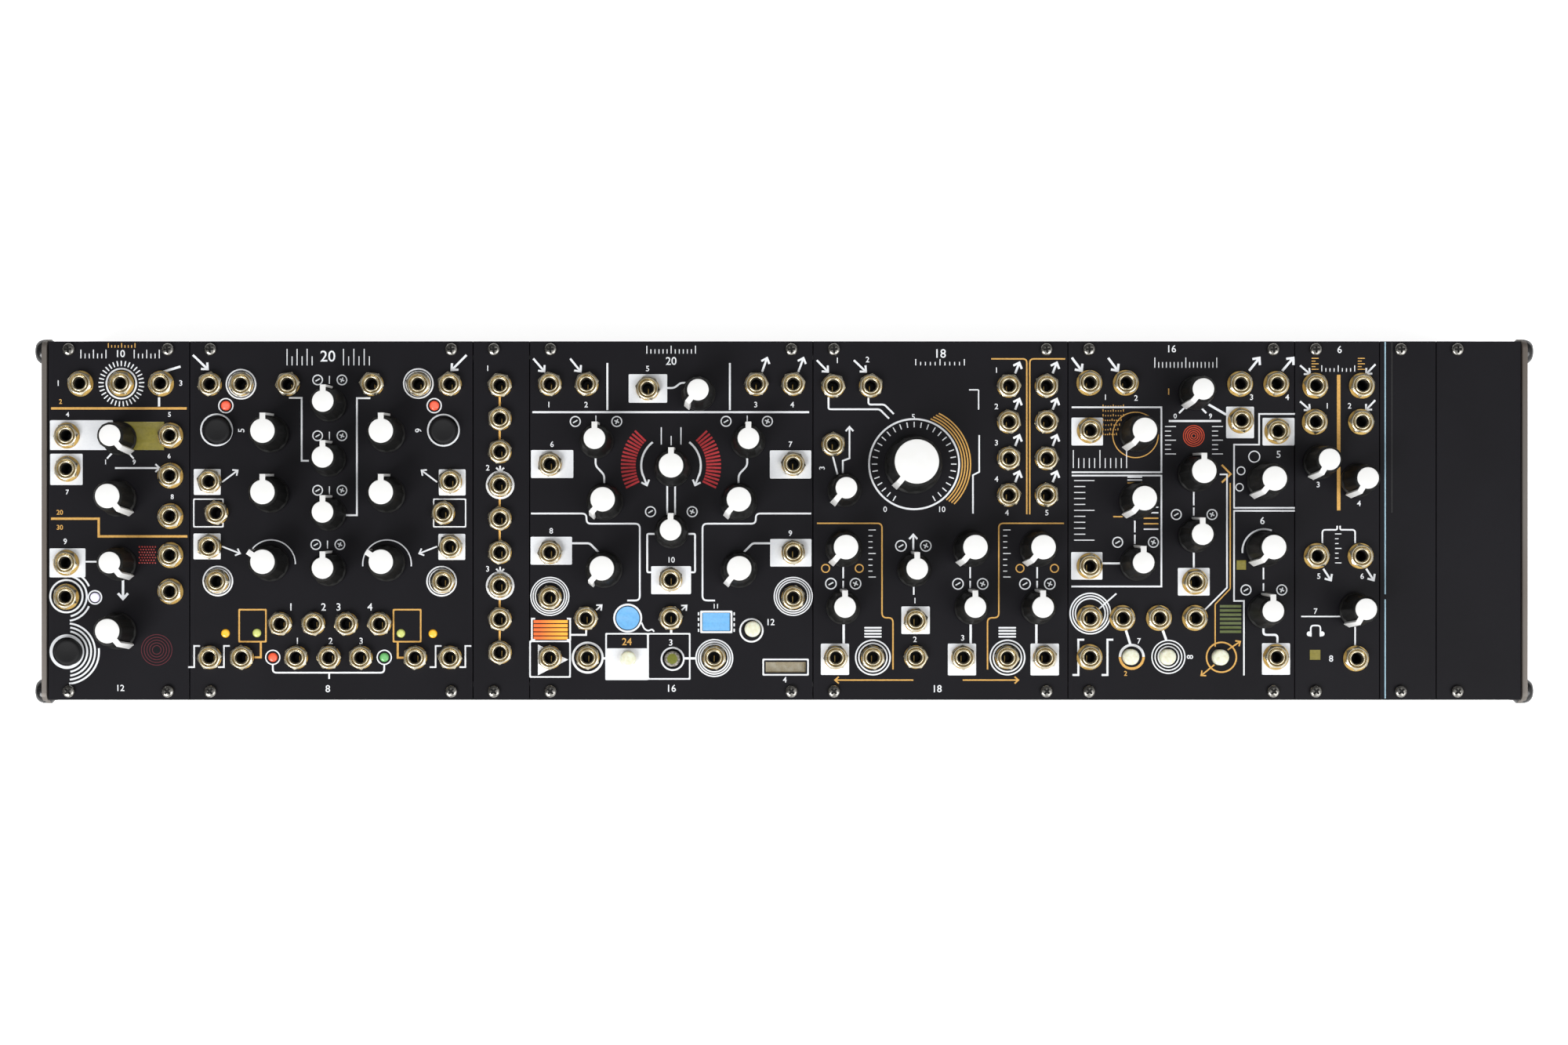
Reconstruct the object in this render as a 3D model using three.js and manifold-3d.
// A modular synthesizer: a low steel case with seven modules and two blank panels screwed to its rails.
// Millimetres, +Z up. The case lies flat with its panels facing up. The origin is on the table,
// under the middle of the case. +X is the players' right, +Y is the rear of the case.

import * as THREE from 'three';
import { mergeVertices } from 'three/addons/utils/BufferGeometryUtils.js';
import Module from 'manifold-3d';

const wasm = await Module();
wasm.setup();

// Panel format

const hpPitch = 5.08;
const panelHeight = 128.5;
const panelThickness = 2;
const panelGap = 0.3;
const screwInset = 7.5;
const screwEdge = 3;
const screwSpanHp = 3;

// Fits

const runningGap = 0.3;
const overrun = 1;

// Panel screws

const screwHeadRadius = 2.25;
const screwHeadHeight = 1.5;
const screwShankRadius = 1.45;
const screwReach = 5;

// Case

const feetHeight = 3;
const footRadius = 6;
const footInsetX = 26;
const footInsetY = 16;
const trayDepth = 45;
const sheet = 1.5;
const trayOverhang = 0.15;
const endPlateThickness = 1.75;
const endPlateGap = 0.45;
const endPlateRise = 0.4;
const endPlateOverhang = 0.5;
const railWall = 1.6;
const railFloor = 3;
const slotSpare = 2;
const boltHeadRadius = 4.5;
const boltHeadHeight = 3.8;
const boltDrop = 5;
const earRadius = 4.5;
const earReach = 1.4;

// Power board in the bottom of the tray

const busMargin = 44;
const busWidth = 40;
const busThickness = 1.6;
const busStandoff = 4;
const busPostWidth = 6;
const headerCount = 10;
const headerLength = 21;
const headerWidth = 9;
const headerHeight = 9;

// Power inlet in the rear wall

const inletWidth = 12;
const inletDepth = 14;
const inletHeight = 11;
const inletRise = 7;
const inletInset = 40;
const inletCollarRadius = 5;
const inletCollarReach = 0.35;
const inletBoreRadius = 2.75;
const inletBoreDepth = 9;

// Boards, jacks, pots, switches and card holder behind the panels

const boardDrop = 10.5;
const boardThickness = 1.6;
const boardMargin = 1;
const boardClearance = 2.9;
const plugHeight = 8;
const plugLength = 21;
const plugWidth = 7;
const plugOffset = 32;
const jackBodyWidth = 9;
const jackBodyLength = 10.4;
const potBodyWidth = 9.6;
const potBodyLength = 11;
const switchWidth = 6.2;
const cardSlotWidth = 14.4;
const cardSlotHeight = 3.7;
const cardSlotDepth = 8;
const cardHolderWall = 1.2;

// Jacks

const nutCornerRadius = 4.5;
const nutHeight = 2.4;
const jackBoreRadius = 1.8;
const jackBoreDepth = 9;

// Knobs, by size: radii, and heights above the panel's face

const knobGap = 0.8;
const pointerWidth = 2.3;
const shoulder = 0.8;
const knobSizes = {
  small: { skirt: 6.1, waist: 4.6, cap: 3.8, top: 15.4, tipTop: 5.8, tipBase: 6.7 },
  medium: { skirt: 6.6, waist: 5.1, cap: 4.3, top: 16.6, tipTop: 6.3, tipBase: 7.4 },
  large: { skirt: 10.4, waist: 8.7, cap: 7.8, top: 17.5, tipTop: 9.9, tipBase: 10.7 },
};
const shaftRadius = 3;
const shaftReach = 6;
const stopAngle = 140;
const wideStopAngle = 150;

// Push buttons, by kind

const buttonSkirt = 2.4;
const buttonTravelGap = 1.3;
const buttonChamfer = 0.8;
const buttonKinds = {
  round: { radius: 4.65, rise: 4 },
  lamp: { radius: 2.85, rise: 2.5 },
};

// Roundness

const knobSides = 10;
const buttonSides = 10;
const shaftSides = 8;
const nutSides = 6;
const domeSteps = 3;

// The modules from left to right. Places are shares of each panel's width and height from its lower
// left corner. A knob is [size, x, y, pointer], where the pointer is in degrees clockwise from the top.

const low = -stopAngle;
const high = stopAngle;
const lowest = -wideStopAngle;

function mirrored(centreShare, shares) {
  return shares.flatMap(([x, y]) => [[x, y], [2 * centreShare - x, y]]);
}

const moduleShares = [
  {
    name: 'random',
    hp: 10,
    jacks: [[0.23, 0.882], [0.518, 0.882], [0.799, 0.882], [0.134, 0.737], [0.865, 0.737], [0.137, 0.644],
      [0.865, 0.625], [0.865, 0.512], [0.13, 0.382], [0.13, 0.287], [0.865, 0.403], [0.865, 0.302]],
    knobs: [['small', 0.512, 0.728, high], ['medium', 0.501, 0.561, high], ['small', 0.51, 0.379, high],
      ['medium', 0.501, 0.191, high]],
    buttons: [['round', 0.154, 0.133]],
  },
  {
    name: 'function',
    hp: 20,
    jacks: [...mirrored(0.496, [[0.073, 0.88], [0.184, 0.88], [0.348, 0.88], [0.071, 0.609], [0.096, 0.521],
      [0.071, 0.427], [0.097, 0.33], [0.321, 0.212], [0.438, 0.212], [0.072, 0.118]]), [0.186, 0.118],
    [0.377, 0.118], [0.493, 0.118], [0.605, 0.118], [0.797, 0.118]],
    knobs: [['small', 0.495, 0.822, 0], ['small', 0.494, 0.669, 0], ['small', 0.494, 0.518, 0],
      ['small', 0.494, 0.364, 0], ['medium', 0.288, 0.74, 0], ['medium', 0.288, 0.572, 0],
      ['medium', 0.698, 0.74, 0], ['medium', 0.698, 0.572, 0], ['medium', 0.288, 0.381, -56],
      ['medium', 0.698, 0.381, -56]],
    buttons: [['round', 0.104, 0.749], ['round', 0.899, 0.749]],
  },
  {
    name: 'multiple',
    hp: 4,
    jacks: [0.877, 0.784, 0.692, 0.599, 0.505, 0.411, 0.318, 0.225, 0.132].map((y) => [0.479, y]),
    knobs: [],
    buttons: [],
  },
  {
    name: 'sampler',
    hp: 20,
    jacks: [...mirrored(0.501, [[0.072, 0.88], [0.202, 0.88], [0.072, 0.657], [0.072, 0.411],
      [0.072, 0.285]]),
    [0.417, 0.868], [0.498, 0.335], [0.199, 0.227], [0.498, 0.228], [0.072, 0.118], [0.205, 0.118],
    [0.651, 0.118]],
    knobs: [['small', 0.596, 0.853, low], ['small', 0.237, 0.72, 0], ['small', 0.771, 0.72, 0],
      ['medium', 0.503, 0.645, 0], ['medium', 0.266, 0.552, low], ['medium', 0.738, 0.552, low],
      ['small', 0.501, 0.469, 0], ['medium', 0.263, 0.363, low], ['medium', 0.739, 0.363, low]],
    buttons: [['lamp', 0.348, 0.114], ['lamp', 0.504, 0.114], ['lamp', 0.787, 0.197]],
    cardSlot: [0.904, 0.0905],
  },
  {
    name: 'filter',
    hp: 18,
    jacks: [[0.079, 0.875], [0.226, 0.875], [0.079, 0.712], [0.767, 0.875], [0.767, 0.775], [0.767, 0.673],
      [0.767, 0.571], [0.915, 0.875], [0.915, 0.775], [0.915, 0.673], [0.915, 0.571], [0.089, 0.118],
      [0.234, 0.118], [0.402, 0.221], [0.402, 0.119], [0.588, 0.118], [0.76, 0.118], [0.908, 0.118]],
    knobs: [['small', 0.123, 0.584, low], ['large', 0.393, 0.655, low], ['medium', 0.121, 0.421, low],
      ['small', 0.118, 0.257, 0], ['small', 0.396, 0.362, 0], ['medium', 0.619, 0.421, low],
      ['medium', 0.881, 0.421, low], ['small', 0.62, 0.257, 0], ['small', 0.881, 0.257, 0]],
    buttons: [],
  },
  {
    name: 'echo',
    hp: 16,
    jacks: [[0.094, 0.884], [0.255, 0.884], [0.759, 0.881], [0.919, 0.881], [0.096, 0.751], [0.762, 0.779],
      [0.923, 0.749], [0.095, 0.373], [0.56, 0.329], [0.095, 0.228], [0.24, 0.228], [0.401, 0.228],
      [0.56, 0.228], [0.095, 0.119], [0.917, 0.119]],
    knobs: [['small', 0.561, 0.855, low], ['medium', 0.305, 0.742, low], ['medium', 0.562, 0.63, 0],
      ['medium', 0.867, 0.609, low], ['medium', 0.304, 0.555, low], ['small', 0.302, 0.379, 0],
      ['small', 0.558, 0.457, 0], ['medium', 0.864, 0.421, low], ['small', 0.864, 0.246, 0]],
    buttons: [['lamp', 0.276, 0.119], ['lamp', 0.438, 0.119], ['lamp', 0.671, 0.118]],
  },
  {
    name: 'output',
    hp: 6,
    jacks: [[0.241, 0.876], [0.79, 0.876], [0.236, 0.775], [0.779, 0.775], [0.257, 0.401], [0.774, 0.401],
      [0.721, 0.115]],
    knobs: [['small', 0.289, 0.662, lowest], ['small', 0.733, 0.611, lowest],
      ['small', 0.712, 0.251, lowest]],
    buttons: [],
  },
  { name: 'blank_narrow', hp: 4, jacks: [], knobs: [], buttons: [] },
  { name: 'blank_wide', hp: 6, jacks: [], knobs: [], buttons: [] },
];
const passiveNames = ['multiple', 'blank_narrow', 'blank_wide'];

// Heights and widths that follow from the sizes above

const trayFloor = feetHeight + sheet;
const panelUnder = feetHeight + trayDepth;
const panelFace = panelUnder + panelThickness;
const boardTop = panelUnder - boardDrop;
const boardUnder = boardTop - boardThickness;
const caseHp = moduleShares.reduce((sum, module) => sum + module.hp, 0);
const bayHalf = caseHp * hpPitch / 2;
const plateInner = bayHalf + endPlateGap;
const plateOuter = plateInner + endPlateThickness;
const plateMiddle = plateInner + endPlateThickness / 2;
const panelHalf = panelHeight / 2;
const trayHalf = panelHalf + trayOverhang;
const railLine = panelHalf - screwEdge;
const slotHalf = screwShankRadius + runningGap;
const slotDepth = screwReach + slotSpare;
const railInner = railLine - slotHalf - railWall;
const boardHalf = railInner - boardClearance;
const shaftBoreRadius = (shaftRadius + runningGap) / Math.cos(Math.PI / shaftSides);

// Solids

function toSolid(geometry) {
  const bare = geometry.clone();
  bare.deleteAttribute('normal');
  bare.deleteAttribute('uv');
  const merged = mergeVertices(bare);
  const corners = merged.index.array;
  const triangles = [];
  for (let i = 0; i < corners.length; i += 3) {
    const [a, b, c] = [corners[i], corners[i + 1], corners[i + 2]];
    if (a !== b && b !== c && c !== a) triangles.push(a, b, c);
  }
  return new wasm.Manifold(new wasm.Mesh({
    numProp: 3,
    vertProperties: merged.attributes.position.array,
    triVerts: new Uint32Array(triangles),
  }));
}

function toGeometry(solid) {
  const mesh = solid.getMesh();
  const geometry = new THREE.BufferGeometry();
  geometry.setAttribute('position', new THREE.BufferAttribute(mesh.vertProperties, 3));
  geometry.setIndex(new THREE.BufferAttribute(mesh.triVerts, 1));
  return geometry;
}

function block(x0, x1, y0, y1, z0, z1) {
  const geometry = new THREE.BoxGeometry(x1 - x0, y1 - y0, z1 - z0);
  geometry.translate((x0 + x1) / 2, (y0 + y1) / 2, (z0 + z1) / 2);
  return toSolid(geometry);
}

function centredBlock(x, y, width, length, z0, z1) {
  return block(x - width / 2, x + width / 2, y - length / 2, y + length / 2, z0, z1);
}

function prism(x, y, radius, sides, z0, z1, turn = 0) {
  const geometry = new THREE.CylinderGeometry(radius, radius, z1 - z0, sides);
  geometry.rotateX(Math.PI / 2);
  geometry.rotateZ(turn);
  geometry.translate(x, y, (z0 + z1) / 2);
  return toSolid(geometry);
}

// A turned body about the Z axis through the origin, from its profile of [radius, height] pairs.
function turnedGeometry(profile, sides) {
  const geometry = new THREE.LatheGeometry(profile.map(([r, z]) => new THREE.Vector2(r, z)), sides);
  geometry.rotateX(Math.PI / 2);
  return geometry;
}

function join(solids) {
  return solids.reduce((sum, solid) => sum.add(solid));
}

// Places on a panel

function layOut() {
  let left = -bayHalf;
  return moduleShares.map((module) => {
    const width = module.hp * hpPitch;
    const start = left;
    left += width;
    const at = (xShare, yShare) => [start + xShare * width, yShare * panelHeight - panelHalf];
    return { ...module, start, width, at };
  });
}

function screwPlaces(module) {
  const first = module.start + screwInset;
  const columns = [first];
  if (module.hp > 2 * screwSpanHp) columns.push(first + (module.hp - screwSpanHp) * hpPitch);
  return columns.flatMap((x) => [[x, railLine], [x, -railLine]]);
}

// A module: panel, screws, jacks, pot and switch bodies, and the board that carries them

function jackParts(x, y) {
  return [
    prism(x, y, nutCornerRadius, nutSides, panelFace - panelThickness / 2, panelFace + nutHeight),
    centredBlock(x, y, jackBodyWidth, jackBodyLength, boardTop - boardThickness / 2,
      panelUnder + panelThickness / 2),
  ];
}

function jackBore(x, y) {
  const mouth = panelFace + nutHeight;
  return prism(x, y, jackBoreRadius, nutSides, mouth - jackBoreDepth, mouth + overrun);
}

function screwParts(x, y) {
  const inPanel = panelFace - panelThickness / 2;
  return [
    prism(x, y, screwHeadRadius, nutSides, inPanel, panelFace + screwHeadHeight),
    prism(x, y, screwShankRadius, nutSides, panelUnder - screwReach, inPanel),
  ];
}

function potBody(x, y) {
  return centredBlock(x, y, potBodyWidth, potBodyLength, boardTop - boardThickness / 2,
    panelUnder + panelThickness / 2);
}

function shaftBore(x, y) {
  return prism(x, y, shaftBoreRadius, shaftSides, panelUnder - shaftReach - runningGap, panelFace + overrun);
}

function switchBody(x, y) {
  return centredBlock(x, y, switchWidth, switchWidth, boardTop - boardThickness / 2,
    panelUnder - buttonSkirt - buttonTravelGap);
}

function buttonBore(kind, x, y) {
  const radius = buttonKinds[kind].radius + runningGap / Math.cos(Math.PI / buttonSides);
  return prism(x, y, radius, buttonSides, panelUnder - overrun, panelFace + overrun);
}

function cardHolder(x, y) {
  return centredBlock(x, y, cardSlotWidth + 2 * cardHolderWall, cardSlotHeight + 2 * cardHolderWall,
    boardTop - boardThickness / 2, panelUnder + panelThickness / 2);
}

function cardSlotCut(x, y) {
  return centredBlock(x, y, cardSlotWidth, cardSlotHeight, panelFace - cardSlotDepth, panelFace + overrun);
}

function boardParts(module) {
  const right = module.start + module.width;
  const parts = [block(module.start + boardMargin, right - boardMargin, -boardHalf, boardHalf,
    boardUnder, boardTop)];
  if (module.knobs.length) {
    parts.push(centredBlock(module.start + module.width / 2, -plugOffset, plugWidth, plugLength,
      boardUnder - plugHeight, boardUnder + boardThickness / 2));
  }
  return parts;
}

function moduleSolid(module) {
  const right = module.start + module.width;
  const parts = [block(module.start + panelGap / 2, right - panelGap / 2, -panelHalf, panelHalf,
    panelUnder, panelFace)];
  const cuts = [];
  if (module.jacks.length) parts.push(...boardParts(module));
  for (const [x, y] of screwPlaces(module)) parts.push(...screwParts(x, y));
  for (const shares of module.jacks) {
    const [x, y] = module.at(...shares);
    parts.push(...jackParts(x, y));
    cuts.push(jackBore(x, y));
  }
  for (const [, ...shares] of module.knobs) {
    const [x, y] = module.at(...shares);
    parts.push(potBody(x, y));
    cuts.push(shaftBore(x, y));
  }
  for (const [kind, ...shares] of module.buttons) {
    const [x, y] = module.at(...shares);
    parts.push(switchBody(x, y));
    cuts.push(buttonBore(kind, x, y));
  }
  if (module.cardSlot) {
    const [x, y] = module.at(...module.cardSlot);
    parts.push(cardHolder(x, y));
    cuts.push(cardSlotCut(x, y));
  }
  return cuts.length ? join(parts).subtract(join(cuts)) : join(parts);
}

// Knobs and buttons, each modelled about the Z axis with the panel's face at zero

function knobSolid(size) {
  const { skirt, waist, cap, top, tipTop, tipBase } = knobSizes[size];
  const body = toSolid(turnedGeometry([
    [0, knobGap],
    [skirt, knobGap],
    [waist, top - shoulder],
    [cap, top],
    [0, top],
  ], knobSides));
  const fin = new THREE.Shape();
  fin.moveTo(0, knobGap);
  fin.lineTo(tipBase, knobGap);
  fin.lineTo(tipTop, top);
  fin.lineTo(0, top);
  fin.closePath();
  const finGeometry = new THREE.ExtrudeGeometry(fin, { depth: pointerWidth, bevelEnabled: false });
  finGeometry.translate(0, 0, -pointerWidth / 2);
  finGeometry.rotateX(Math.PI / 2);
  finGeometry.rotateZ(Math.PI / 2);
  const shaft = prism(0, 0, shaftRadius, shaftSides, -panelThickness - shaftReach, top - shoulder);
  return join([body, toSolid(finGeometry), shaft]);
}

function buttonSolid(kind) {
  const { radius, rise } = buttonKinds[kind];
  const foot = -panelThickness - buttonSkirt;
  return toSolid(turnedGeometry([
    [0, foot],
    [radius, foot],
    [radius, rise - buttonChamfer],
    [radius - buttonChamfer, rise],
    [0, rise],
  ], buttonSides));
}

// The case: tray, rails, end plates, bolts, feet, power board and inlet, with its passive panels

function sideBlock(side, near, far, halfLength, z0, z1) {
  const [low, high] = [side * near, side * far].sort((a, b) => a - b);
  return block(-halfLength, halfLength, low, high, z0, z1);
}

function traySolids() {
  const floor = block(-plateMiddle, plateMiddle, -trayHalf, trayHalf, feetHeight, trayFloor);
  const walls = [-1, 1].map((side) => sideBlock(side, trayHalf - sheet, trayHalf, plateMiddle,
    feetHeight, panelUnder));
  return [floor, ...walls];
}

function railSolids() {
  return [-1, 1].map((side) => {
    const base = panelUnder - slotDepth - railFloor;
    const rail = sideBlock(side, railInner, trayHalf, plateMiddle, base, panelUnder);
    const slot = sideBlock(side, railLine - slotHalf, railLine + slotHalf, plateInner,
      panelUnder - slotDepth, panelUnder + overrun);
    return rail.subtract(slot);
  });
}

function endPlates() {
  return [-1, 1].map((side) => {
    const [low, high] = [side * plateInner, side * plateOuter].sort((a, b) => a - b);
    return block(low, high, -panelHalf - endPlateOverhang, panelHalf + endPlateOverhang, feetHeight,
      panelFace + endPlateRise);
  });
}

// A turned body about the X axis, its profile's heights measured outwards from the end plate's outer face.
function turnedOnEnd(side, y, profile) {
  const geometry = turnedGeometry(profile, knobSides);
  geometry.rotateY(side * Math.PI / 2);
  geometry.translate(side * plateOuter, y, panelUnder - boltDrop);
  return toSolid(geometry);
}

function boltHead(side, y) {
  const dome = Array.from({ length: domeSteps }, (_, i) => {
    const angle = i / domeSteps * Math.PI / 2;
    return [boltHeadRadius * Math.cos(angle), boltHeadHeight * Math.sin(angle)];
  });
  const seat = -endPlateThickness / 2;
  return turnedOnEnd(side, y, [[0, seat], [boltHeadRadius, seat], ...dome, [0, boltHeadHeight]]);
}

// The round ear that carries a bolt: as thick as the end plate, and tapering behind it into the rail's end.
function boltEar(side, y) {
  const back = -endPlateThickness - earReach;
  return turnedOnEnd(side, y, [[0, back], [earRadius - earReach, back], [earRadius, -endPlateThickness],
    [earRadius, 0], [0, 0]]);
}

function endBolts() {
  const corners = [[-1, -railLine], [-1, railLine], [1, -railLine], [1, railLine]];
  return corners.flatMap((corner) => [boltHead(...corner), boltEar(...corner)]);
}

function footSolids() {
  const x = plateInner - footInsetX;
  const y = trayHalf - footInsetY;
  return [[-x, -y], [x, -y], [-x, y], [x, y]].map((place) => prism(...place, footRadius, knobSides,
    0, feetHeight + sheet / 2));
}

function busSolids() {
  const under = trayFloor + busStandoff;
  const face = under + busThickness;
  const half = bayHalf - busMargin;
  const board = block(-half, half, -busWidth / 2, busWidth / 2, under, face);
  const posts = [busPostWidth - half, 0, half - busPostWidth].map((x) => centredBlock(x, 0, busPostWidth,
    busPostWidth, trayFloor - sheet / 2, face - busThickness / 2));
  const headers = Array.from({ length: headerCount }, (_, i) => centredBlock(
    half * ((2 * i + 1) / headerCount - 1), 0, headerLength, headerWidth, face - busThickness / 2,
    face + headerHeight));
  return [board, ...posts, ...headers];
}

function rearPrism(x, z, radius, sides, y0, y1) {
  const geometry = new THREE.CylinderGeometry(radius, radius, y1 - y0, sides);
  geometry.translate(x, (y0 + y1) / 2, z);
  return toSolid(geometry);
}

function withInlet(shell) {
  const x = bayHalf - inletInset;
  const z0 = trayFloor + inletRise;
  const z = z0 + inletHeight / 2;
  const wallMiddle = trayHalf - sheet / 2;
  const mouth = trayHalf + inletCollarReach;
  const housing = block(x - inletWidth / 2, x + inletWidth / 2, trayHalf - inletDepth, wallMiddle, z0,
    z0 + inletHeight);
  const collar = rearPrism(x, z, inletCollarRadius, knobSides, wallMiddle, mouth);
  const bore = rearPrism(x, z, inletBoreRadius, shaftSides, mouth - inletBoreDepth, mouth + overrun);
  return join([shell, housing, collar]).subtract(bore);
}

function caseSolid(passiveModules) {
  const shell = join([...traySolids(), ...railSolids(), ...endPlates(), ...endBolts(), ...footSolids(),
    ...busSolids()]);
  return join([withInlet(shell), ...passiveModules.map(moduleSolid)]);
}

// Finishes

const finishes = {
  steel: new THREE.MeshStandardMaterial({ color: 0x5f5955, roughness: 0.5, metalness: 0.6 }),
  panel: new THREE.MeshStandardMaterial({ color: 0x1c1c1e, roughness: 0.55, metalness: 0.3 }),
  knob: new THREE.MeshStandardMaterial({ color: 0x151515, roughness: 0.6, metalness: 0 }),
  round: new THREE.MeshStandardMaterial({ color: 0x0c0c0c, roughness: 0.35, metalness: 0 }),
  lamp: new THREE.MeshStandardMaterial({ color: 0xf4efe0, roughness: 0.3, metalness: 0 }),
};

// Assembly

const synthesizer = new THREE.Group();

function addMesh(name, solid, material) {
  const mesh = new THREE.Mesh(toGeometry(solid), material);
  mesh.name = name;
  synthesizer.add(mesh);
  return mesh;
}

const modules = layOut();
const liveModules = modules.filter((module) => !passiveNames.includes(module.name));
const passiveModules = modules.filter((module) => passiveNames.includes(module.name));

addMesh('case', caseSolid(passiveModules), finishes.steel);

for (const module of liveModules) {
  addMesh(`${module.name}_module`, moduleSolid(module), finishes.panel);
  module.knobs.forEach(([size, xShare, yShare, pointer], i) => {
    const knob = addMesh(`${module.name}_knob_${i + 1}`, knobSolid(size), finishes.knob);
    knob.position.set(...module.at(xShare, yShare), panelFace);
    knob.rotation.z = -THREE.MathUtils.degToRad(pointer);
  });
  module.buttons.forEach(([kind, xShare, yShare], i) => {
    const button = addMesh(`${module.name}_button_${i + 1}`, buttonSolid(kind), finishes[kind]);
    button.position.set(...module.at(xShare, yShare), panelFace);
  });
}

export default synthesizer;
